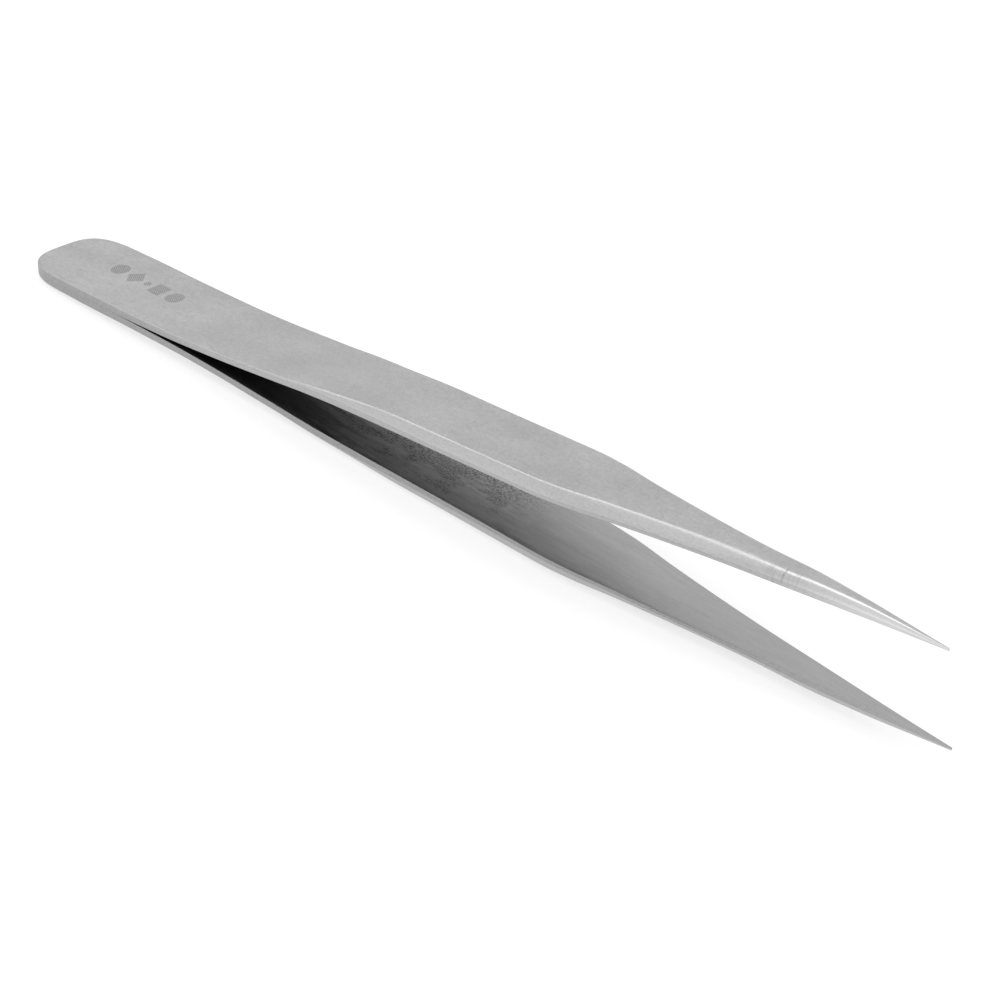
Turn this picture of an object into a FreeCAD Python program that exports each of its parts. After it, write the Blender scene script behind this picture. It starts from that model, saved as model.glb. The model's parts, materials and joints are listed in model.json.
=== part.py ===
import FreeCAD, Part
import os
import Sketcher

# Precision tweezers: two sprung steel arms, welded flat to flat at the heel.
# An arm is drawn above the middle plane: heel end at x = 0, point at x = 140,
# width along y, inner face towards z = 0.  The other arm is the same arm
# turned over about x.  Each arm is divided where it bends: its root stays
# with the heel and its blade swings.  The placements lay the open pair on
# its lower arm, resting on the heel and on the belly.

os.makedirs("parts", exist_ok=True)
doc = FreeCAD.newDocument("precision_tweezers")

DIMENSIONS = [
    # stations along the arm
    ("land_x", 17.0),
    ("bend_x", 34.0),
    ("flare_x", 45.0),
    ("ramp_x", 53.0),
    ("belly_x", 57.0),
    ("waist_x", 60.0),
    ("back_x", 65.0),
    ("side_x", 86.8),
    ("shoulder_x", 88.3),
    ("neck_x", 104.0),
    ("shaft_x", 121.0),
    ("needle_x", 133.0),
    ("arm_length", 140.0),
    # inner face above the middle plane
    ("bend_gap", 0.65),
    ("flare_gap", 1.50),
    ("belly_gap", 2.20),
    ("neck_gap", 3.98),
    ("point_gap", 5.03),
    # outer face above the middle plane
    ("spring_thick", 0.80),
    ("ramp_top", 3.20),
    ("back_top", 3.97),
    ("shoulder_top", 4.83),
    ("neck_top", 5.335),
    ("shaft_top", 5.84),
    ("needle_top", 5.68),
    ("point_thick", 0.32),
    # half widths
    ("heel_end_half", 1.40),
    ("corner_x", 4.2),
    ("corner_half", 5.16),
    ("root_x", 20.0),
    ("root_half", 5.20),
    ("bend_half", 5.03),
    ("ramp_half", 4.85),
    ("waist_half", 4.78),
    ("back_half", 4.77),
    ("side_half", 4.71),
    ("shoulder_half", 4.62),
    ("neck_half", 2.95),
    ("shaft_half", 1.42),
    ("needle_half", 0.48),
    ("point_half", 0.14),
    # radii
    ("flare_radius", 223.0),
    ("belly_radius", 300.0),
    ("back_radius", 240.0),
    ("nose_radius", 170.0),
    ("corner_radius", 4.0),
    ("bulge_radius", 130.0),
    ("shoulder_radius", 14.0),
    ("rim_radius", 0.20),
    # ground bevels: width on the outer face, depth down the side
    ("ramp_bevel", 0.04),
    ("ramp_drop", 0.06),
    ("back_bevel", 0.44),
    ("back_drop", 0.70),
    ("shoulder_bevel", 0.55),
    ("shoulder_drop", 0.72),
    ("neck_bevel", 0.95),
    ("neck_drop", 0.68),
    ("shaft_bevel", 0.60),
    ("shaft_drop", 0.74),
    ("needle_bevel", 0.26),
    ("needle_drop", 0.52),
    ("point_bevel", 0.08),
    ("point_drop", 0.18),
    # how far the bevel cutter reaches past a bevel, in bevel widths
    ("cutter_past", 0.5),
    ("cutter_reach", 1.5),
    # spot welds
    ("weld_diameter", 2.6),
    ("weld_depth", 0.4),
    ("weld_pair_x", 5.5),
    ("weld_pair_half", 2.2),
    ("weld_lead_x", 12.0),
    # stock that an outline is cut from
    ("stock_half", 7.0),
    ("stock_margin", 3.0),
    # rest position
    ("rest_tilt", 2.81),
    ("rest_x", -70.03),
    ("rest_z", 0.79),
]

dims = doc.addObject("Spreadsheet::Sheet", "dims")
for row, (name, number) in enumerate(DIMENSIONS, start=1):
    cell = "B" + str(row)
    dims.set("A" + str(row), name)
    dims.set(cell, str(number))
    dims.setAlias(cell, name)
doc.recompute()

SIZE = dict(DIMENSIONS)

LEAST_CUT = 0.1  # mm3 that a cut has to take away
CLOSE = 0.1  # mm within which an edge counts as lying in a face
SHORT_EDGE = 0.5  # mm of length along the arm that a rim edge has at least


def amount(expression):
    """Number that a sum of products of sheet names stands for."""
    total = 0.0
    product = 0.0
    fresh = True
    for word in expression.split():
        if word in "+-":
            total += product
            product = 1.0 if word == "+" else -1.0
            fresh = False
        elif word != "*":
            factor = SIZE[word[5:]] if word.startswith("dims.") else float(word)
            product = factor if fresh else product * factor
            fresh = False
    return total + product


def check_cut(before, after):
    """Stop when a cutting feature has taken nothing away."""
    if after.Shape.Volume > before.Shape.Volume - LEAST_CUT:
        raise ValueError(after.Label + " cuts nothing")


def plane_of(body, role):
    """Origin plane of a body, found by its role."""
    return [plane for plane in body.Origin.OriginFeatures if plane.Role == role][0]


def new_sketch(body, name, role):
    """Sketch lying on one of the body's own origin planes."""
    sketch = body.newObject("Sketcher::SketchObject", body.Label + "_" + name)
    sketch.AttachmentSupport = [(plane_of(body, role), "")]
    sketch.MapMode = "FlatFace"
    return sketch


def bind_length(sketch, kind, geometry, end, expression):
    """Tie one coordinate of a sketch point to the sheet."""
    value = amount(expression)
    if value == 0.0:
        axis = -2 if kind == "DistanceX" else -1
        sketch.addConstraint(Sketcher.Constraint("PointOnObject", geometry, end, axis))
        return
    number = sketch.addConstraint(Sketcher.Constraint(kind, -1, 1, geometry, end, value))
    sketch.setExpression("Constraints[" + str(number) + "]", expression)


def bind_point(sketch, geometry, end, across, up):
    """Tie both coordinates of a sketch point to the sheet."""
    bind_length(sketch, "DistanceX", geometry, end, across)
    bind_length(sketch, "DistanceY", geometry, end, up)


def add_side(sketch, start, finish, radius):
    """One side of an outline: a line, or an arc when it has a radius.

    A positive radius bows to the left of the way from start to finish, a
    negative one to the right.  Returns the numbers of its first and last
    end, because an arc always runs anticlockwise.
    """
    if radius == 0.0:
        sketch.addGeometry(Part.LineSegment(start, finish), False)
        return 1, 2
    chord = finish - start
    leftward = FreeCAD.Vector(-chord.y, chord.x, 0) / chord.Length
    half = chord.Length / 2.0
    rise = abs(radius) - (radius ** 2 - half ** 2) ** 0.5
    middle = (start + finish) / 2.0 + leftward * (rise if radius > 0 else -rise)
    sketch.addGeometry(Part.Arc(start, middle, finish), False)
    return (2, 1) if radius > 0 else (1, 2)


def closed_outline(sketch, corners):
    """Closed loop through corners, each with the bow of the side it starts."""
    spots = [FreeCAD.Vector(amount(across), amount(up), 0) for across, up, bow in corners]
    first = sketch.GeometryCount
    ends = []
    for start, finish, corner in zip(spots, spots[1:] + spots[:1], corners):
        ends.append(add_side(sketch, start, finish, amount(corner[2])))
    for side, (across, up, bow) in enumerate(corners):
        following = (side + 1) % len(corners)
        sketch.addConstraint(Sketcher.Constraint(
            "Coincident", first + side, ends[side][1], first + following, ends[following][0]))
        bind_point(sketch, first + side, ends[side][0], across, up)
        if amount(bow) != 0.0:
            radius = sketch.addConstraint(
                Sketcher.Constraint("Radius", first + side, abs(amount(bow))))
            sketch.setExpression("Constraints[" + str(radius) + "]", bow.lstrip("- "))


def edges_where(shape, wanted):
    """Names of the edges for which the test holds."""
    return ["Edge" + str(i) for i, edge in enumerate(shape.Edges, start=1) if wanted(edge)]


def mirrored(corners):
    """The same corners below the middle line, met in the opposite order."""
    backwards = []
    for i in range(len(corners) - 1, -1, -1):
        across, up, bow = corners[i]
        bow_before = corners[i - 1][2] if i else "0"
        backwards.append((across, "- " + up, bow_before))
    return backwards


def add_strip(body, corners):
    """Side profile of a piece, padded wide enough to cut its outline from."""
    side = new_sketch(body, "side", "XZ_Plane")
    closed_outline(side, corners)
    strip = body.newObject("PartDesign::Pad", body.Label + "_strip")
    strip.Profile = side
    strip.Midplane = True
    strip.setExpression("Length", "2 * dims.stock_half")
    doc.recompute()
    return strip


def trim_to_plan(body, half, start, finish):
    """Cut the strip to its outline seen from above, given as one half."""
    plan = new_sketch(body, "plan", "XY_Plane")
    closed_outline(plan, half + mirrored(half))
    outside = "dims.stock_half + dims.stock_margin"
    below = "- dims.stock_half - dims.stock_margin"
    closed_outline(plan, [
        (start, outside, "0"),
        (finish, outside, "0"),
        (finish, below, "0"),
        (start, below, "0"),
    ])
    trim = body.newObject("PartDesign::Pocket", body.Label + "_trim")
    trim.Profile = plan
    trim.Type = "ThroughAll"
    trim.Reversed = True
    doc.recompute()
    check_cut(body.getObject(body.Label + "_strip"), trim)
    return trim


ROOT_SIDE = [
    ("0", "0", "0"),
    ("dims.land_x", "0", "- dims.flare_radius"),
    ("dims.bend_x", "dims.bend_gap", "0"),
    ("dims.bend_x", "dims.bend_gap + dims.spring_thick", "dims.flare_radius"),
    ("dims.land_x", "dims.spring_thick", "0"),
    ("0", "dims.spring_thick", "0"),
]

ROOT_HALF = [
    ("0", "dims.heel_end_half", "dims.corner_radius"),
    ("dims.corner_x", "dims.corner_half", "dims.bulge_radius"),
    ("dims.root_x", "dims.root_half", "0"),
    ("dims.bend_x", "dims.bend_half", "0"),
]

BLADE_SIDE = [
    ("dims.bend_x", "dims.bend_gap", "0"),
    ("dims.flare_x", "dims.flare_gap", "dims.belly_radius"),
    ("dims.belly_x", "dims.belly_gap", "0"),
    ("dims.neck_x", "dims.neck_gap", "0"),
    ("dims.arm_length", "dims.point_gap", "0"),
    ("dims.arm_length", "dims.point_gap + dims.point_thick", "0"),
    ("dims.needle_x", "dims.needle_top", "- dims.nose_radius"),
    ("dims.shaft_x", "dims.shaft_top", "0"),
    ("dims.shoulder_x", "dims.shoulder_top", "0"),
    ("dims.back_x", "dims.back_top", "- dims.back_radius"),
    ("dims.ramp_x", "dims.ramp_top", "0"),
    ("dims.bend_x", "dims.bend_gap + dims.spring_thick", "0"),
]

BLADE_HALF = [
    ("dims.bend_x", "dims.bend_half", "0"),
    ("dims.waist_x", "dims.waist_half", "0"),
    ("dims.side_x", "dims.side_half", "dims.shoulder_radius"),
    ("dims.shoulder_x", "dims.shoulder_half", "0"),
    ("dims.neck_x", "dims.neck_half", "0"),
    ("dims.shaft_x", "dims.shaft_half", "0"),
    ("dims.needle_x", "dims.needle_half", "0"),
    ("dims.arm_length", "dims.point_half", "0"),
]

BEVELS = [
    ("ramp", "dims.ramp_x", "dims.ramp_half", "dims.ramp_top"),
    ("back", "dims.back_x", "dims.back_half", "dims.back_top"),
    ("shoulder", "dims.shoulder_x", "dims.shoulder_half", "dims.shoulder_top"),
    ("neck", "dims.neck_x", "dims.neck_half", "dims.neck_top"),
    ("shaft", "dims.shaft_x", "dims.shaft_half", "dims.shaft_top"),
    ("needle", "dims.needle_x", "dims.needle_half", "dims.needle_top"),
    ("point", "dims.arm_length", "dims.point_half", "dims.point_gap + dims.point_thick"),
]

WELD_SPOTS = [
    ("dims.weld_pair_x", "dims.weld_pair_half"),
    ("dims.weld_pair_x", "- dims.weld_pair_half"),
    ("dims.weld_lead_x", "0"),
]


def weld_circles(sketch):
    """The three weld spots of the heel, as circles on the middle plane."""
    for across, up in WELD_SPOTS:
        centre = FreeCAD.Vector(amount(across), amount(up), 0)
        circle = sketch.addGeometry(
            Part.Circle(centre, FreeCAD.Vector(0, 0, 1), SIZE["weld_diameter"] / 2), False)
        bind_point(sketch, circle, 3, across, up)
        diameter = sketch.addConstraint(
            Sketcher.Constraint("Diameter", circle, SIZE["weld_diameter"]))
        sketch.setExpression("Constraints[" + str(diameter) + "]", "dims.weld_diameter")


def lay_to_rest(body, turned):
    """Tilt a body with the whole part and set it down; turned is the lower arm."""
    turn = "rotation(vector(0; 1; 0); -dims.rest_tilt)"
    if turned:
        turn += " * rotation(vector(1; 0; 0); 180)"
    base = "vector(dims.rest_x; 0; dims.rest_z)"
    body.setExpression("Placement", "placement(" + base + "; " + turn + ")")


def new_body(label, turned):
    """Body of one sub-part, named and laid to rest."""
    body = doc.addObject("PartDesign::Body", label)
    body.Label = label
    lay_to_rest(body, turned)
    return body


def grind_bevel(body):
    """Bevel along the outer edge on one side, then on the other side too."""
    sections = []
    past = " + dims.cutter_past * "
    reach = " - dims.cutter_reach * "
    for name, along, half, top in BEVELS:
        section = new_sketch(body, name + "_bevel", "YZ_Plane")
        section.setExpression("AttachmentOffset.Base.z", along)
        width = "dims." + name + "_bevel"
        drop = "dims." + name + "_drop"
        closed_outline(section, [
            (half + reach + width, top + past + drop, "0"),
            (half + past + width, top + reach + drop, "0"),
            (half + past + width, top + past + drop, "0"),
        ])
        sections.append(section)
    bevel = body.newObject("PartDesign::SubtractiveLoft", body.Label + "_bevel")
    bevel.Profile = sections[0]
    bevel.Sections = sections[1:]
    bevel.Ruled = True
    doc.recompute()
    both = body.newObject("PartDesign::Mirrored", body.Label + "_bevels")
    both.Originals = [bevel]
    both.MirrorPlane = (plane_of(body, "XZ_Plane"), [""])
    body.Tip = both
    doc.recompute()
    check_cut(bevel, both)


def make_root(label, turned):
    """Thin root of one arm: heel end, weld pockets and the start of the bend."""
    body = new_body(label, turned)
    add_strip(body, ROOT_SIDE)
    trim = trim_to_plan(body, ROOT_HALF, "- dims.stock_margin", "dims.bend_x + dims.stock_margin")

    spots = new_sketch(body, "weld_spots", "XY_Plane")
    weld_circles(spots)
    pockets = body.newObject("PartDesign::Pocket", label + "_weld_pockets")
    pockets.Profile = spots
    pockets.Reversed = True
    pockets.setExpression("Length", "dims.weld_depth")
    doc.recompute()
    check_cut(trim, pockets)

    def is_rim(edge):
        """True for an edge of the outer face that isn't the cut at the bend."""
        on_outer_face = edge.BoundBox.ZMin > SIZE["spring_thick"] - CLOSE
        at_heel_end = edge.BoundBox.XMax < CLOSE
        return on_outer_face and (at_heel_end or edge.BoundBox.XLength > SHORT_EDGE)

    rim = body.newObject("PartDesign::Fillet", label + "_rim")
    rim.Base = (pockets, edges_where(pockets.Shape, is_rim))
    rim.Radius = SIZE["rim_radius"]
    rim.setExpression("Radius", "dims.rim_radius")
    doc.recompute()


def make_blade(label, turned):
    """Swinging part of one arm, from the bend to the point."""
    body = new_body(label, turned)
    add_strip(body, BLADE_SIDE)
    trim_to_plan(
        body, BLADE_HALF, "dims.bend_x - dims.stock_margin", "dims.arm_length + dims.stock_margin")
    grind_bevel(body)


def make_welds(label):
    """The three weld nuggets that join the two roots, half in each."""
    body = new_body(label, False)
    body.AllowCompound = True
    spots = new_sketch(body, "spots", "XY_Plane")
    weld_circles(spots)
    nuggets = body.newObject("PartDesign::Pad", label + "_nuggets")
    nuggets.Profile = spots
    nuggets.Midplane = True
    nuggets.setExpression("Length", "2 * dims.weld_depth")


make_root("upper_arm_root", False)
make_blade("upper_arm_blade", False)
make_root("lower_arm_root", True)
make_blade("lower_arm_blade", True)
make_welds("heel_welds")
doc.recompute()

for thing in doc.Objects:
    if "Invalid" in thing.State or "Error" in thing.State:
        raise ValueError(thing.Label + " failed: " + str(thing.State))

bodies = [thing for thing in doc.Objects if thing.TypeId == "PartDesign::Body"]
for body in bodies:
    if body.Shape.isNull() or not body.Shape.isValid():
        raise ValueError(body.Label + " has no valid shape")

for body in bodies:
    body.Shape.exportStep("parts/" + body.Label + ".step")
    box = body.Shape.optimalBoundingBox()
    print(body.Label, len(body.Shape.Solids), "solids", round(body.Shape.Volume, 2), "mm3", box)
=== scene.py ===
"""Precision tweezers: two sprung steel arms, welded at the heel and ground to fine points."""

import json
import logging
import math
from dataclasses import dataclass, field
from enum import Enum
from typing import Any, Sequence, Union

import bmesh
import bpy
import numpy as np
from mathutils import Matrix, Vector

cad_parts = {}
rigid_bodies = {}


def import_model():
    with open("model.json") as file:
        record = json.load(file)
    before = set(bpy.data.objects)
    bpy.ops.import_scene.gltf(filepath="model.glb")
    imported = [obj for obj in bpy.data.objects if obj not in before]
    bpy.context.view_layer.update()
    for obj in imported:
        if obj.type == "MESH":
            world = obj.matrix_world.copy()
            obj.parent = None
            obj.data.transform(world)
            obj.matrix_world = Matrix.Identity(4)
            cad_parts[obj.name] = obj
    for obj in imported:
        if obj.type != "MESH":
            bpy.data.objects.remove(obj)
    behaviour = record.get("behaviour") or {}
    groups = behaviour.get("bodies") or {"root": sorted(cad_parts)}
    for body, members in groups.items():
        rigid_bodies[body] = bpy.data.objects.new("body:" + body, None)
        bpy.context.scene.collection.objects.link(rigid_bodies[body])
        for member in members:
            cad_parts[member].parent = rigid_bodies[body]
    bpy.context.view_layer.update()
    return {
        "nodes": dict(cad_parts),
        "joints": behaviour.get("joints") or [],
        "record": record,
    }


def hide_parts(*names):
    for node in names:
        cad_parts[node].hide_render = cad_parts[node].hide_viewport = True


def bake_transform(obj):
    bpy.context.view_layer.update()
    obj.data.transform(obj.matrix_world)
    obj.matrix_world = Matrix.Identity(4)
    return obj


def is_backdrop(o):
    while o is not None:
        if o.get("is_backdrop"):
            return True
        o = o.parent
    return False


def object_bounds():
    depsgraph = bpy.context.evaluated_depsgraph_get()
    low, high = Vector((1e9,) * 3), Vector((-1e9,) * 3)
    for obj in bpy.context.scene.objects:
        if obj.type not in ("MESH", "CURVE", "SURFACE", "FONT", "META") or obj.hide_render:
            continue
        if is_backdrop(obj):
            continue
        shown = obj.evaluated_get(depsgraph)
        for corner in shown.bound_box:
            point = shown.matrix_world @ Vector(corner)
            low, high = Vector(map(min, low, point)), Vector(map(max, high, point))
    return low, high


LOG = logging.getLogger("tweezers")
MM = 0.001
TOUCHING = 0.0001 * MM  # points closer than this are one point
HEEL_MOUNT = 8.0  # millimetres from the heel end to the flat mounts over the heel

Points = Sequence[tuple[float, float]]


@dataclass(frozen=True)
class Curve:
    """A smooth curve through a few points that never swings past them."""

    points: Points

    def slopes(self) -> np.ndarray:
        """Slope at each point, flattened where the curve would overshoot.

        Returns:
            One slope for each point.
        """
        x, y = np.array(self.points, float).T
        step = np.diff(x)
        rise = np.diff(y) / step
        slope = np.empty_like(y)
        slope[0], slope[-1] = rise[0], rise[-1]
        for i in range(1, len(x) - 1):
            if rise[i - 1] * rise[i] <= 0:
                slope[i] = 0.0
                continue
            before = 2 * step[i] + step[i - 1]
            after = step[i] + 2 * step[i - 1]
            slope[i] = (before + after) / (before / rise[i - 1] + after / rise[i])
        return slope

    def at(self, x: np.ndarray) -> np.ndarray:
        """Value of the curve.

        Args:
            x: Places along the arm, in millimetres.

        Returns:
            The curve's value at each place, held level past its ends.
        """
        knots, values = np.array(self.points, float).T
        slope = self.slopes()
        x = np.clip(x, knots[0], knots[-1])
        i = np.clip(np.searchsorted(knots, x, side="right") - 1, 0, len(knots) - 2)
        step = knots[i + 1] - knots[i]
        u = (x - knots[i]) / step
        start = (1 + 2 * u) * (1 - u) ** 2 * values[i] + u * (1 - u) ** 2 * step * slope[i]
        finish = u * u * (3 - 2 * u) * values[i + 1] + u * u * (u - 1) * step * slope[i + 1]
        return start + finish


class Zone(Enum):
    """The differently finished strips of an arm's surface."""

    INNER = 0
    SIDE = 1
    BEVEL = 2
    OUTER = 3


@dataclass(frozen=True)
class ArmSizes:
    """One arm's shape in millimetres, x along it from the heel end, z out from the middle plane.

    Each curve's points are a place along the arm and the size there. Roundings and creases are
    shares: bevel_round of a full round, crease of the bevel's width, widest_bevel of the half
    width, deepest_bevel of the thickness and rounding_share of what a small rounding may use up.
    The rows of the mesh fan out round both ends, and row_steps holds how far each spacing of the
    rows between them reaches.
    """

    length: float = 140.0
    heel_cap: float = 8.6
    heel_squareness: float = 3.4
    point_round: float = 0.16
    half_width: Curve = Curve((
        (0.0, 5.20), (6.0, 5.11), (12.0, 5.13), (20.0, 5.12), (34.0, 4.98), (60.0, 4.71), (78.0, 4.67),
        (85.5, 4.67), (89.5, 4.49), (96.0, 3.78), (104.0, 2.99), (112.0, 2.22), (121.0, 1.50),
        (133.0, 0.56), (140.0, 0.09)))
    inner: Curve = Curve((
        (0.0, 0.0), (17.0, 0.0), (20.0, 0.04), (26.0, 0.19), (34.0, 0.59), (44.0, 1.31), (50.0, 1.77),
        (57.0, 2.12), (72.0, 2.64), (88.0, 3.25), (104.0, 3.99), (121.0, 4.48), (140.0, 5.04)))
    thickness: Curve = Curve((
        (0.0, 0.82), (20.0, 0.80), (34.0, 0.73), (44.0, 0.79), (54.0, 1.17), (64.0, 1.57), (88.0, 1.59),
        (104.0, 1.45), (121.0, 1.49), (128.0, 1.25), (134.0, 0.79), (138.0, 0.43), (140.0, 0.27)))
    bevel_width: Curve = Curve((
        (0.0, 0.30), (7.0, 0.20), (14.0, 0.06), (38.0, 0.06), (48.0, 0.20), (56.0, 0.42), (64.0, 0.52),
        (84.0, 0.58), (96.0, 0.90), (106.0, 1.02), (121.0, 0.80), (133.0, 0.38), (140.0, 0.07)))
    bevel_depth: Curve = Curve((
        (0.0, 0.34), (7.0, 0.26), (14.0, 0.07), (38.0, 0.08), (48.0, 0.28), (56.0, 0.68), (64.0, 1.08),
        (88.0, 1.26), (104.0, 1.18), (121.0, 1.26), (130.0, 1.00), (136.0, 0.56), (140.0, 0.22)))
    bevel_round: Curve = Curve((
        (0.0, 1.0), (44.0, 0.9), (62.0, 0.2), (104.0, 0.15), (114.0, 0.45), (121.0, 0.9), (140.0, 1.0)))
    crease: Curve = Curve((
        (0.0, 0.5), (44.0, 0.5), (56.0, 0.45), (68.0, 0.28), (104.0, 0.22), (116.0, 0.4), (124.0, 0.6)))
    edge_break: Curve = Curve(((0.0, 0.015), (12.0, 0.02), (24.0, 0.05), (120.0, 0.06), (140.0, 0.03)))
    side_corner: float = 0.10
    widest_bevel: float = 0.62
    deepest_bevel: float = 0.86
    rounding_share: float = 0.3
    heel_rows: int = 43
    heel_fan: float = 3.0
    row_steps: Points = ((50.0, 0.8), (96.0, 0.55), (124.0, 0.5))
    last_step: float = 0.28
    point_rows: int = 8
    point_fan_gap: float = 0.06
    point_fan_end: float = 0.02

    def heel_end(self) -> tuple[np.ndarray, np.ndarray]:
        """Rounded heel end, evenly divided.

        Returns:
            Its points, from the centre line to the side, and each one's share of the way round.
        """
        width = float(self.half_width.at(np.array([self.heel_cap]))[0])
        across = np.linspace(0.0, 1.0, 400)
        angle = np.arcsin(across ** (self.heel_squareness / 2))
        along = self.heel_cap * (1 - np.cos(angle) ** (2 / self.heel_squareness))
        steps = np.hypot(np.diff(along), np.diff(across * width))
        run = np.concatenate([[0.0], np.cumsum(steps)])
        stops = np.linspace(0.0, run[-1], self.heel_rows, endpoint=False)
        points = np.column_stack([np.interp(stops, run, along), np.interp(stops, run, across * width)])
        return points, stops / run[-1]

    def side_places(self) -> np.ndarray:
        """Places of the mesh's rows along the side.

        Returns:
            The places, from the end of the heel's rounding to the start of the point's.
        """
        blunt = self.length - self.point_round
        places: list[np.ndarray] = []
        start = self.heel_cap
        for stop, step in (*self.row_steps, (blunt, self.last_step)):
            places.append(np.arange(start, stop, step))
            start = stop
        return np.concatenate([*places, [blunt]])

    def outline(self) -> tuple[np.ndarray, np.ndarray, np.ndarray]:
        """Half of the arm's outline seen from above, from the heel round to the point.

        Returns:
            The outline's points, its inward normals and the centre-line place that each point faces.
        """
        heel, share = self.heel_end()
        side_x = self.side_places()
        side = np.column_stack([side_x, self.half_width.at(side_x)])
        blunt, tip_half = side[-1]
        turn = np.linspace(0, math.pi / 2, self.point_rows + 1)[1:]
        point = np.column_stack([blunt + self.point_round * np.sin(turn), tip_half * np.cos(turn)])
        points = np.vstack([heel, side, point])

        along = np.gradient(points, axis=0)
        along /= np.linalg.norm(along, axis=1)[:, None]
        inward = np.column_stack([along[:, 1], -along[:, 0]])
        inward[0], inward[-1] = (1.0, 0.0), (-1.0, 0.0)

        facing = points[:, 0].copy()
        facing[:len(heel)] = self.heel_fan + (self.heel_cap - self.heel_fan) * share
        last = self.point_rows + 2
        first = facing[-last - 1] + self.point_fan_gap
        facing[-last:] = np.linspace(first, blunt - self.point_fan_end, last)
        return points, inward, facing

    def section(self, x: np.ndarray, half: np.ndarray) -> tuple[np.ndarray, np.ndarray, list[Zone]]:
        """The rim of the arm's cross-section, from the inner face round to the outer face.

        Args:
            x: Place along the arm of each outline point.
            half: Distance from each outline point to the centre line.

        Returns:
            Distances in from the outline, heights above the inner face and the zone after each step.
        """
        thick = self.thickness.at(x)
        width = np.minimum(self.bevel_width.at(x), self.widest_bevel * half)
        depth = np.minimum(self.bevel_depth.at(x), self.deepest_bevel * thick)
        rounding = self.bevel_round.at(x)
        crease = self.crease.at(x)
        small = np.minimum(self.edge_break.at(x), self.rounding_share * half)
        inset: list[np.ndarray] = []
        height: list[np.ndarray] = []
        zones: list[Zone] = []

        for turn in np.linspace(0, math.pi / 2, 5):
            inset.append(small * (1 - math.sin(turn)))
            height.append(small * (1 - math.cos(turn)))
            zones.append(Zone.SIDE)
        edge = thick - depth
        corner = np.minimum(self.side_corner, self.rounding_share * (edge - small))
        for share in (0.3, 0.65, 1.0):
            inset.append(0 * x)
            height.append(small + (edge - corner - small) * share)
            zones.append(Zone.SIDE)
        up_the_bevel = np.linspace(0.05, 0.9, 10)
        over_the_crease = np.linspace(0.95, 1.5, 9)
        for share in np.concatenate([up_the_bevel, over_the_crease]):
            left = 1 - share
            flat = np.where(left < crease, np.maximum(left + crease, 0) ** 2 / (4 * crease), left)
            circle = 1 - math.sqrt(1 - max(0.0, left) ** 2)
            drop = (1 - rounding) * flat + rounding * circle
            inset.append(width * share)
            height.append(thick - depth * drop)
            zones.append(Zone.BEVEL if left > 0 else Zone.OUTER)
        return np.array(inset), np.array(height), zones


class Side(Enum):
    """Which arm of the pair."""

    UPPER = 1
    LOWER = -1


@dataclass(frozen=True)
class Lie:
    """How the open tool lies: the heel end's place on the middle plane and the tilt of that plane."""

    heel: Vector
    tilt: float

    @classmethod
    def of_record(cls, record: dict[str, Any]) -> "Lie":
        """Read the lie from the flat faces over the heel.

        Args:
            record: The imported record, whose mounts face out of both sides of the heel.

        Returns:
            The lie of the tool.
        """
        faces = {mount["name"]: mount for mount in record["mounts"]}
        upper, lower = faces["upper_heel_face"], faces["lower_heel_face"]
        outward = Vector(upper["axis"])
        tilt = math.atan2(-outward.x, outward.z)
        middle = (Vector(upper["pos_m"]) + Vector(lower["pos_m"])) / 2
        return cls(middle - HEEL_MOUNT * MM * Vector((math.cos(tilt), 0.0, math.sin(tilt))), tilt)

    def place(self, side: Side) -> Matrix:
        """Matrix from an arm's own millimetres to the tool's metres.

        Args:
            side: The arm, of which the lower one is turned over.

        Returns:
            The matrix.
        """
        turn = Matrix.Identity(4) if side is Side.UPPER else Matrix.Rotation(math.pi, 4, "X")
        lean = Matrix.Rotation(-self.tilt, 4, "Y")
        return Matrix.Translation(self.heel) @ lean @ turn @ Matrix.Scale(MM, 4)


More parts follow.
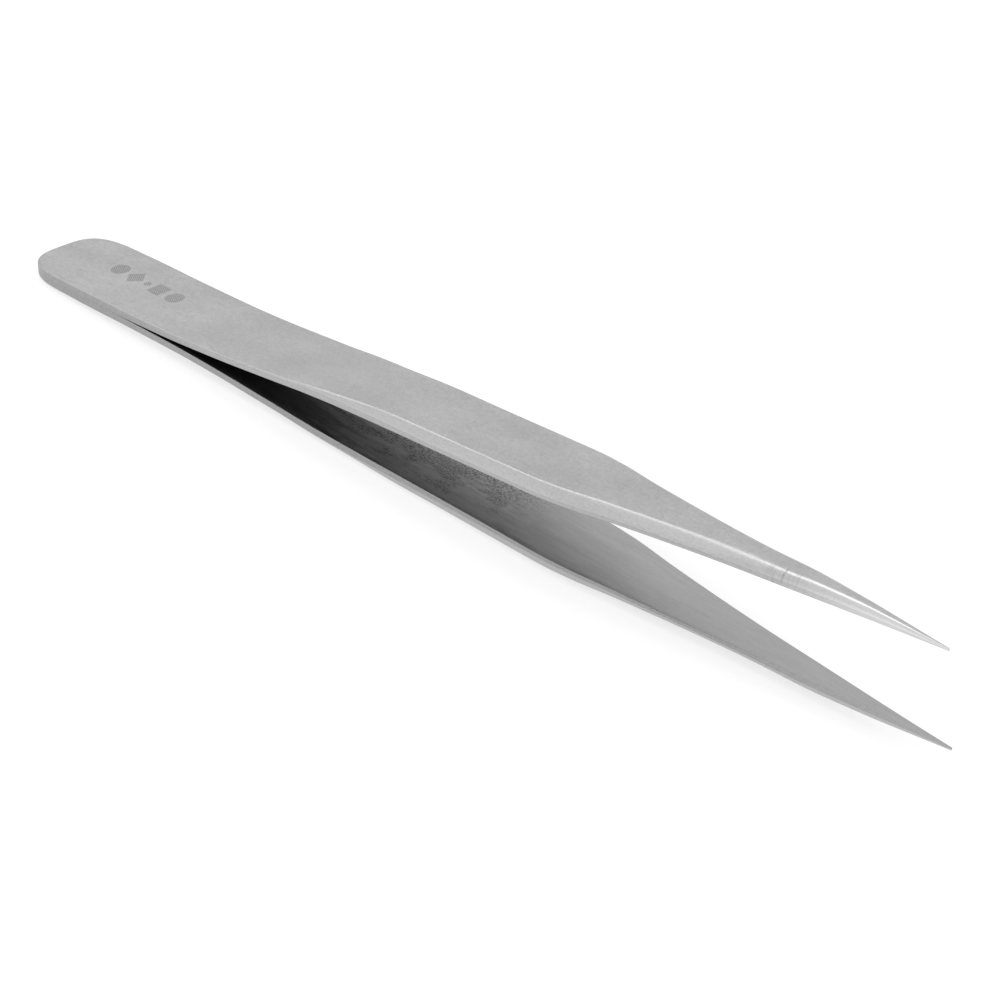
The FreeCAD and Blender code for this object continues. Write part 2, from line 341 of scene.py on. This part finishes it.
@dataclass
class Arm:
    """One whole arm, a single strip of steel from its heel end to its point."""

    side: Side
    lie: Lie
    sizes: ArmSizes = field(default_factory=ArmSizes)
    inner_steps: int = 7
    outer_steps: int = 9

    @property
    def name(self) -> str:
        """Plain name of the arm."""
        return f"{self.side.name.lower()}_arm"

    def half_grid(self) -> tuple[np.ndarray, list[Zone]]:
        """Points of one half of the arm, one row for each outline point.

        Returns:
            The points, rows by steps by three, and the zone after each step.
        """
        sizes = self.sizes
        points, inward, facing = sizes.outline()
        centre = np.column_stack([facing, 0 * facing])
        half = np.linalg.norm(points - centre, axis=1)
        inset, height, zones = sizes.section(points[:, 0], half)

        rows: list[np.ndarray] = []
        first = points + inward * inset[0][:, None]
        for share in np.linspace(0, 1, self.inner_steps, endpoint=False):
            flat = centre + (first - centre) * share
            rows.append(np.column_stack([flat, sizes.inner.at(flat[:, 0])]))
        for step_in, step_up in zip(inset, height):
            flat = points + inward * step_in[:, None]
            rows.append(np.column_stack([flat, sizes.inner.at(flat[:, 0]) + step_up]))
        last = points + inward * inset[-1][:, None]
        for share in np.linspace(0, 1, self.outer_steps + 1)[1:]:
            flat = last + (centre - last) * share
            top = sizes.inner.at(flat[:, 0]) + sizes.thickness.at(flat[:, 0])
            rows.append(np.column_stack([flat, top]))
        strip = [Zone.INNER] * self.inner_steps + zones + [Zone.OUTER] * self.outer_steps
        return np.array(rows).transpose(1, 0, 2), strip

    def build(self) -> bpy.types.Object:
        """Make the arm's mesh, both halves joined along the centre line.

        Returns:
            The arm as an object in the tool's frame.
        """
        grid, zones = self.half_grid()
        place = self.lie.place(self.side)
        mesh = bmesh.new()
        for mirror in (1, -1):
            corners = [[mesh.verts.new(place @ Vector((x, mirror * y, z))) for x, y, z in row]
                       for row in grid]
            for here, there in zip(corners, corners[1:]):
                for k in range(len(here) - 1):
                    ring = [here[k], there[k], there[k + 1], here[k + 1]]
                    face = mesh.faces.new(ring if mirror > 0 else ring[::-1])
                    face.material_index = zones[k].value
                    face.smooth = True
        bmesh.ops.remove_doubles(mesh, verts=mesh.verts, dist=TOUCHING)
        bmesh.ops.recalc_face_normals(mesh, faces=mesh.faces)
        data = bpy.data.meshes.new(self.name)
        mesh.to_mesh(data)
        mesh.free()
        arm = bpy.data.objects.new(self.name, data)
        bpy.context.scene.collection.objects.link(arm)
        return arm

    def bend(self, piece: bpy.types.Object, joints: Sequence[dict[str, Any]]) -> None:
        """Bake the arm's placement into its mesh and hide the frame's own root and blade of the arm.

        Args:
            piece: The arm's object.
            joints: The frame's joints.
        """
        hinge = next(joint for joint in joints if joint["child"] == self.name)
        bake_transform(piece)
        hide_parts(f"{self.name}_root", f"{self.name}_blade")


class Signal:
    """A shader socket that Python arithmetic works on."""

    def __init__(self, nodes: "NodeBook", socket: bpy.types.NodeSocket) -> None:
        """Wrap an output socket.

        Args:
            nodes: The material's nodes.
            socket: The socket to wrap.
        """
        self.nodes = nodes
        self.socket = socket

    def _math(self, operation: str, *values: "Value") -> "Signal":
        """Run a Math node on values."""
        return self.nodes.add("ShaderNodeMath", {"operation": operation}, dict(enumerate(values)))

    def __add__(self, other: "Value") -> "Signal":
        """Sum."""
        return self._math("ADD", self, other)

    __radd__ = __add__

    def __sub__(self, other: "Value") -> "Signal":
        """Difference."""
        return self._math("SUBTRACT", self, other)

    def __rsub__(self, other: "Value") -> "Signal":
        """Difference with the signal taken away."""
        return self._math("SUBTRACT", other, self)

    def __mul__(self, other: "Value") -> "Signal":
        """Product."""
        return self._math("MULTIPLY", self, other)

    __rmul__ = __mul__

    def __truediv__(self, other: "Value") -> "Signal":
        """Quotient."""
        return self._math("DIVIDE", self, other)

    def __pow__(self, other: "Value") -> "Signal":
        """Power."""
        return self._math("POWER", self, other)

    def __abs__(self) -> "Signal":
        """Size without sign."""
        return self._math("ABSOLUTE", self)

    def low(self, other: "Value") -> "Signal":
        """The smaller of the two."""
        return self._math("MINIMUM", self, other)

    def high(self, other: "Value") -> "Signal":
        """The larger of the two."""
        return self._math("MAXIMUM", self, other)

    def above(self, limit: float, soft: float) -> "Signal":
        """Soft step from 0 below a limit to 1 above it.

        Args:
            limit: Middle of the step.
            soft: Half the step's width.

        Returns:
            The step.
        """
        ranges = {1: limit - soft, 2: limit + soft, 3: 0.0, 4: 1.0}
        return self.nodes.add(
            "ShaderNodeMapRange", {"interpolation_type": "SMOOTHSTEP"}, {0: self, **ranges})


Value = Union[Signal, float, tuple[float, ...]]


class NodeBook:
    """A node tree that grows by one node at a time."""

    def __init__(self, tree: bpy.types.NodeTree) -> None:
        """Open a tree.

        Args:
            tree: The tree to add nodes to.
        """
        self.tree = tree

    def add(
        self, kind: str, settings: dict[str, Any], values: dict[Union[int, str], Value],
        output: Union[int, str] = 0,
    ) -> Signal:
        """Add a node.

        Args:
            kind: The node's type.
            settings: Properties that are set first.
            values: Numbers or signals for its input sockets.
            output: Which of its outputs to use.

        Returns:
            The chosen output.
        """
        node = self.tree.nodes.new(kind)
        for key, setting in settings.items():
            setattr(node, key, setting)
        for key, value in values.items():
            if isinstance(value, Signal):
                self.tree.links.new(value.socket, node.inputs[key])
            else:
                node.inputs[key].default_value = value
        return Signal(self, node.outputs[output])

    def vector(self, operation: str, first: Value, second: Value) -> Signal:
        """Vector arithmetic on two vectors."""
        return self.add("ShaderNodeVectorMath", {"operation": operation}, {0: first, 1: second})

    def grey(self, shade: Value) -> Signal:
        """Neutral colour of a shade."""
        return self.add("ShaderNodeCombineColor", {}, {0: shade, 1: shade, 2: shade})


class MetalBook(NodeBook):
    """The nodes of one metal finish, which knows places on the tool in millimetres."""

    RELIEF_DEPTH = 0.02 * MM

    def __init__(self, name: str, lie: Lie) -> None:
        """Start a metal material.

        Args:
            name: The material's name.
            lie: How the tool lies, to find places along it.
        """
        self.material = bpy.data.materials.new(name)
        self.material.use_nodes = True
        super().__init__(self.material.node_tree)
        self.metal = next(n for n in self.tree.nodes if n.type == "BSDF_PRINCIPLED")
        self.metal.inputs["Metallic"].default_value = 1.0
        place = self.add("ShaderNodeTexCoord", {}, {}, "Object")
        offset = self.vector("SUBTRACT", place, tuple(lie.heel))
        self.point = self.vector("MULTIPLY", offset, (1.0 / MM,) * 3)

    def axis(self, letter: str) -> Signal:
        """One coordinate of the point on the tool, in millimetres from the heel end."""
        return self.add("ShaderNodeSeparateXYZ", {}, {0: self.point}, letter)

    def noise(self, cell: tuple[float, float, float], detail: float, rough: float) -> Signal:
        """Noise around zero.

        Args:
            cell: Size of its blotches along x, y and z, in millimetres.
            detail: Number of finer layers.
            rough: Strength of the finer layers.

        Returns:
            The noise.
        """
        stretch = tuple(1.0 / size for size in cell)
        scaled = self.vector("MULTIPLY", self.point, stretch)
        values = {"Vector": scaled, "Scale": 1.0, "Detail": detail, "Roughness": rough}
        return self.add("ShaderNodeTexNoise", {}, values) - 0.5

    def finish(self, shade: Signal, roughness: Signal, height: Signal, relief: float) -> bpy.types.Material:
        """Wire the finish to the metal.

        Args:
            shade: Grey of the metal.
            roughness: Its roughness.
            height: Fine relief, in units of RELIEF_DEPTH.
            relief: Strength of the relief.

        Returns:
            The material.
        """
        values = {"Height": height, "Strength": relief, "Distance": self.RELIEF_DEPTH}
        bump = self.add("ShaderNodeBump", {}, values)
        wires = {"Base Color": self.grey(shade), "Roughness": roughness, "Normal": bump}
        for name, signal in wires.items():
            self.tree.links.new(signal.socket, self.metal.inputs[name])
        return self.material


@dataclass(frozen=True)
class OuterFace:
    """Outer face: fine satin left by tumbling, with a hatched laser mark on the heel."""

    shade: float = 0.535
    grain: float = 0.32
    speck: float = 0.24
    cloud: float = 0.14
    scratch: float = 0.8
    roughness: float = 0.40
    relief: float = 0.8
    mark_y: float = 0.8
    mark_slope: float = -0.03
    mark_middle: float = 14.0
    mark_dark: float = 0.42
    hatch_turns: float = 3.4

    def material(self, lie: Lie) -> bpy.types.Material:
        """Make the finish.

        Args:
            lie: How the tool lies.

        Returns:
            The material.
        """
        book = MetalBook("outer_face_satin", lie)
        grain = book.noise((0.16, 0.12, 0.14), 3.0, 0.7)
        speck = book.noise((0.55, 0.40, 0.5), 4.0, 0.65)
        cloud = book.noise((8.0, 3.5, 4.0), 3.0, 0.5)
        scratch = (book.noise((5.0, 0.10, 0.6), 3.0, 0.6) - 0.12).high(0.0)
        mark = self.laser_mark(book)
        shade = self.shade + self.grain * grain + self.speck * speck + self.cloud * cloud
        shade = (shade - self.scratch * scratch) * (1 - self.mark_dark * mark)
        roughness = self.roughness + 0.2 * cloud + 0.4 * speck + 0.6 * scratch + 0.1 * mark
        return book.finish(shade, roughness, grain + 0.6 * speck - 2.0 * scratch, self.relief)

    def laser_mark(self, book: MetalBook) -> Signal:
        """Plain hatched shapes in a row along the heel: disc, lozenge, dot, block and disc.

        Args:
            book: The material's nodes.

        Returns:
            1 on the hatch lines, less between them and 0 outside the shapes.
        """
        along, across, up = book.axis("X"), book.axis("Y"), book.axis("Z")
        middle = across - self.mark_y - self.mark_slope * (along - self.mark_middle)

        def disc(place: float, radius: float) -> Signal:
            """A round spot."""
            ahead = along - place
            return 1 - ((ahead * ahead + middle * middle) / radius ** 2).above(1.0, 0.10)

        def lozenge(place: float, radius: float) -> Signal:
            """A square spot on its corner."""
            return 1 - (abs(along - place) + abs(middle)).above(radius, 0.06)

        def block(place: float, radius: float) -> Signal:
            """A square spot."""
            return 1 - (abs(along - place).high(abs(middle)) / radius).above(1.0, 0.06)

        shapes = disc(9.7, 1.1).high(lozenge(12.6, 1.3)).high(disc(14.8, 0.45))
        shapes = shapes.high(block(16.9, 1.0)).high(disc(19.8, 1.1))
        turns = book.add("ShaderNodeMath", {"operation": "FRACT"}, {0: (along + middle) * self.hatch_turns})
        hatch = 1 - 0.6 * abs(turns - 0.5).above(0.24, 0.10)
        upper_arm = up.above(0.5, 0.1)
        return shapes * hatch * upper_arm


@dataclass(frozen=True)
class GroundSide:
    """Ground edge: sides and bevels, drawn lengthwise on a fine wheel."""

    name: str
    shade: float
    roughness: float
    scratch: float = 0.12
    speck: float = 0.28
    polish: float = 0.14
    polish_x: float = 118.0
    # Painted highlight laid on the upper arm's ground faces near the point.
    tip_painted_highlight: float = 0.16
    highlight_and_buff_x: float = 124.0
    cleaning: float = 0.75
    # Painted shade that darkens the underside, where the faces look down on the bright table.
    underside_painted_shade: float = 0.09
    chatter: float = 1.1
    chatter_x: float = 119.0
    chatter_reach: float = 2.6
    relief: float = 0.45

    def material(self, lie: Lie) -> bpy.types.Material:
        """Make the finish: cleaner towards the point, with a painted highlight on the upper arm's point and
        painted shade on the underside.

        Args:
            lie: How the tool lies.

        Returns:
            The material.
        """
        book = MetalBook(self.name, lie)
        scratch = book.noise((2.2, 0.09, 0.09), 3.0, 0.65)
        speck = book.noise((0.32, 0.22, 0.22), 4.0, 0.7)
        chatter = (book.noise((0.5, 3.0, 3.0), 3.0, 0.6) + 0.02).high(0.0)
        along, up = book.axis("X"), book.axis("Z")
        # Near the point the grinding is cleaner, and the upper arm gets its painted highlight there.
        buffed_and_highlit = along.above(self.highlight_and_buff_x, 8.0)
        clean = 1 - self.cleaning * buffed_and_highlit
        upper_arm = up.above(3.0, 1.0)
        # Painted shade: the ground faces low down, mostly the lower arm's, are darkened where they look
        # down on the bright table.
        underside = 1 - up.above(2.0, 1.0)
        worn = 1 - (abs(along - self.chatter_x) / self.chatter_reach).above(0.9, 0.5)
        worn = worn * up.above(7.0, 0.5) * speck.above(-0.02, 0.10)
        shade = self.shade + self.scratch * scratch + self.speck * speck * clean
        # Painted highlight on the upper arm's point, painted shade on the underside.
        shade = shade + self.tip_painted_highlight * buffed_and_highlit * upper_arm - self.underside_painted_shade * underside
        shade = shade - self.chatter * worn * chatter
        roughness = self.roughness + 0.25 * scratch + 0.25 * speck * clean
        roughness = roughness - self.polish * along.above(self.polish_x, 10.0)
        return book.finish(shade, roughness, scratch + 0.4 * speck, self.relief)


@dataclass(frozen=True)
class InnerFace:
    """Inner face: rolled skin, drawn lengthwise near the point, darker towards the heel: partly oxidised
    steel, partly painted shade where the arms close together.
    """

    shade: float = 0.46
    # Darkest grey at the heel: partly oxidised steel, partly painted shade.
    heel_oxide_and_shade: float = 0.18
    darkest: float = 0.03
    roughness: float = 0.36
    ramp_start: float = 42.0
    ramp_length: float = 60.0
    ramp_slant: float = 2.0
    skin: float = 0.65
    skin_x: float = 61.0
    skin_reach: float = 22.0
    relief: float = 0.45

    def material(self, lie: Lie) -> bpy.types.Material:
        """Make the finish.

        Args:
            lie: How the tool lies.

        Returns:
            The material.
        """
        book = MetalBook("inner_face", lie)
        drawn = book.noise((6.0, 0.34, 0.5), 5.0, 0.66)
        broad = book.noise((11.0, 1.1, 2.0), 3.0, 0.6)
        speck = book.noise((0.20, 0.15, 0.2), 5.0, 0.75)
        patch = book.noise((5.0, 1.6, 3.0), 5.0, 0.65)
        along, across = book.axis("X"), book.axis("Y")
        # Painted shade, partly oxidised steel: dark at the heel where the arms close together, lighter
        # towards the point, slanted across the face.
        ramp = (along + self.ramp_slant * across - self.ramp_start) / self.ramp_length
        out_of_heel_shade = (ramp + 0.5 * drawn + 1.1 * broad).high(0.0).low(1.0) ** 0.5
        middle = 1 - (abs(along - self.skin_x) / self.skin_reach).above(0.8, 0.35)
        blotch = (patch + 0.03 * (across + 3.0)).above(0.03, 0.06)
        skin = middle * blotch * speck.above(0.0, 0.05)
        shade = self.heel_oxide_and_shade + (self.shade - self.heel_oxide_and_shade) * out_of_heel_shade
        shade = shade + 0.16 * out_of_heel_shade * drawn + 0.18 * speck + 0.24 * middle * patch
        shade = (shade * (1 - self.skin * skin)).high(self.darkest)
        roughness = self.roughness + 0.3 * drawn + 0.2 * patch + 0.12 * skin
        return book.finish(shade, roughness, drawn + 0.3 * speck, self.relief)


@dataclass(frozen=True)
class WeldMetal:
    """Cast skin of the spot welds inside the heel."""

    shade: float = 0.36
    roughness: float = 0.5
    ripple: float = 0.16
    relief: float = 0.4

    def material(self, lie: Lie) -> bpy.types.Material:
        """Make the finish.

        Args:
            lie: How the tool lies.

        Returns:
            The material.
        """
        book = MetalBook("weld_metal", lie)
        ripple = book.noise((0.4, 0.4, 0.2), 3.0, 0.6)
        shade = self.shade + self.ripple * ripple
        return book.finish(shade, self.roughness + 0.2 * ripple, ripple, self.relief)


@dataclass(frozen=True)
class Finishes:
    """The finishes of an arm, one for each zone."""

    outer: OuterFace = OuterFace()
    bevel: GroundSide = GroundSide("bevel_ground", 0.55, 0.44)
    # The sides are the bevels' ground steel given a darker grey: painted shade on the side walls.
    edge: GroundSide = GroundSide("side_ground", 0.44, 0.42)
    inner: InnerFace = InnerFace()

    def materials(self, lie: Lie) -> list[bpy.types.Material]:
        """Make the materials in the order of the zones.

        Args:
            lie: How the tool lies.

        Returns:
            One material for each zone.
        """
        made = {
            Zone.OUTER: self.outer.material(lie),
            Zone.BEVEL: self.bevel.material(lie),
            Zone.SIDE: self.edge.material(lie),
            Zone.INNER: self.inner.material(lie),
        }
        return [made[zone] for zone in Zone]


@dataclass
class HeelWelds:
    """The spot welds between the two arms, whose shape is the frame's own."""

    metal: WeldMetal = WeldMetal()

    def dress(self, node: bpy.types.Object, lie: Lie) -> None:
        """Give the welds their finish.

        Args:
            node: The welds' object in the frame.
            lie: How the tool lies.
        """
        material = self.metal.material(lie)
        if not node.material_slots:
            node.data.materials.append(material)
        for holder in node.material_slots:
            holder.material = material


@dataclass(frozen=True)
class Stand:
    """A place round the tool: degrees round it from -Y and above the table, and metres away."""

    azimuth: float
    elevation: float
    distance: float

    def facing(self, target: Vector, roll: float = 0.0) -> Matrix:
        """Matrix of a thing on the stand that looks at a target.

        Args:
            target: What it looks at.
            roll: Turn about the way it looks, in degrees.

        Returns:
            The matrix.
        """
        azimuth, elevation = math.radians(self.azimuth), math.radians(self.elevation)
        away = Vector((
            math.sin(azimuth) * math.cos(elevation), -math.cos(azimuth) * math.cos(elevation),
            math.sin(elevation)))
        turn = (-away).to_track_quat("-Z", "Y").to_matrix().to_4x4()
        turn = turn @ Matrix.Rotation(math.radians(roll), 4, "Z")
        return Matrix.Translation(target + self.distance * away) @ turn


@dataclass(frozen=True)
class Camera:
    """The camera, placed round the middle of the tool."""

    stand: Stand = Stand(51.66, 28.99, 0.5939)
    roll: float = -1.60
    lens: float = 218.2
    sensor: float = 36.0
    nearest: float = 0.01
    aim: tuple[float, float, float] = (0.00368, 0.00015, -0.00504)

    def place(self) -> None:
        """Put the camera in the scene."""
        low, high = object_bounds()
        data = bpy.data.cameras.new("camera")
        data.lens = self.lens
        data.sensor_width = self.sensor
        data.clip_start = self.nearest
        camera = bpy.data.objects.new("camera", data)
        bpy.context.scene.collection.objects.link(camera)
        camera.matrix_world = self.stand.facing((low + high) / 2 + Vector(self.aim), self.roll)
        bpy.context.scene.camera = camera


@dataclass(frozen=True)
class Softbox:
    """A soft square light that faces the tool."""

    name: str
    stand: Stand
    size: float
    watts: float

    def hang(self) -> bpy.types.Object:
        """Put the light in the scene.

        Returns:
            The light.
        """
        data = bpy.data.lights.new(self.name, "AREA")
        data.shape = "SQUARE"
        data.size = self.size
        data.energy = self.watts
        light = bpy.data.objects.new(self.name, data)
        bpy.context.scene.collection.objects.link(light)
        light.matrix_world = self.stand.facing(Vector((0.0, 0.0, 0.0)))
        return light


@dataclass(frozen=True)
class Studio:
    """Pale table with a soft light of its own, two soft lights and a pale surround."""

    floor_half: float = 3.0
    floor_grey: float = 0.45
    floor_glow: float = 0.62
    floor_roughness: float = 0.9
    floor_gloss: float = 0.1
    horizon: float = 0.74
    zenith: float = 1.30
    lights: tuple[Softbox, ...] = (
        Softbox("strip_left", Stand(281.0, 45.0, 1.2), 0.42, 1.05),
        Softbox("fill_front", Stand(313.0, 18.0, 1.2), 0.8, 0.35),
    )

    def build(self) -> None:
        """Lay the table and light the scene."""
        self.table()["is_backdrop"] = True
        for light in self.lights:
            light.hang()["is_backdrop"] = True
        self.surround()
        bpy.context.scene.view_settings.view_transform = "Standard"

    def table(self) -> bpy.types.Object:
        """Lay the table top.

        Returns:
            The table top.
        """
        mesh = bpy.data.meshes.new("floor")
        half = self.floor_half
        corners = [(-half, -half, 0.0), (half, -half, 0.0), (half, half, 0.0), (-half, half, 0.0)]
        mesh.from_pydata(corners, [], [(0, 1, 2, 3)])
        floor = bpy.data.objects.new("floor", mesh)
        bpy.context.scene.collection.objects.link(floor)
        paint = bpy.data.materials.new("floor_paint")
        paint.use_nodes = True
        coat = next(n for n in paint.node_tree.nodes if n.type == "BSDF_PRINCIPLED")
        coat.inputs["Base Color"].default_value = (self.floor_grey,) * 3 + (1.0,)
        coat.inputs["Roughness"].default_value = self.floor_roughness
        coat.inputs["Specular IOR Level"].default_value = self.floor_gloss
        coat.inputs["Emission Color"].default_value = (1.0, 1.0, 1.0, 1.0)
        coat.inputs["Emission Strength"].default_value = self.floor_glow
        mesh.materials.append(paint)
        return floor

    def surround(self) -> None:
        """Surround the table with soft white, brighter overhead."""
        world = bpy.data.worlds.new("surround")
        bpy.context.scene.world = world
        world.use_nodes = True
        book = NodeBook(world.node_tree)
        sky = next(n for n in world.node_tree.nodes if n.type == "BACKGROUND")
        sky.inputs["Color"].default_value = (1.0, 1.0, 1.0, 1.0)
        direction = book.add("ShaderNodeTexCoord", {}, {}, "Generated")
        height = book.add("ShaderNodeSeparateXYZ", {}, {0: direction}, "Z")
        strength = self.horizon + (self.zenith - self.horizon) * height.above(0.75, 0.35)
        world.node_tree.links.new(strength.socket, sky.inputs["Strength"])


def clear_scene() -> None:
    """Empty the starting scene."""
    for thing in list(bpy.data.objects):
        bpy.data.objects.remove(thing)


def main() -> None:
    """Build the tweezers piece by piece and light them."""
    logging.basicConfig(level=logging.INFO, format="%(name)s: %(message)s")
    clear_scene()
    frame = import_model()
    lie = Lie.of_record(frame["record"])
    LOG.info("plane of the heel tilted %.2f degrees", math.degrees(lie.tilt))

    finishes = Finishes().materials(lie)
    for side in Side:
        arm = Arm(side, lie)
        piece = arm.build()
        for finish in finishes:
            piece.data.materials.append(finish)
        arm.bend(piece, frame["joints"])
        LOG.info("%s: %d faces", piece.name, len(piece.data.polygons))

    HeelWelds().dress(frame["nodes"]["heel_welds"], lie)
    LOG.info("heel welds dressed")

    Camera().place()
    Studio().build()


if __name__ == "__main__":
    main()
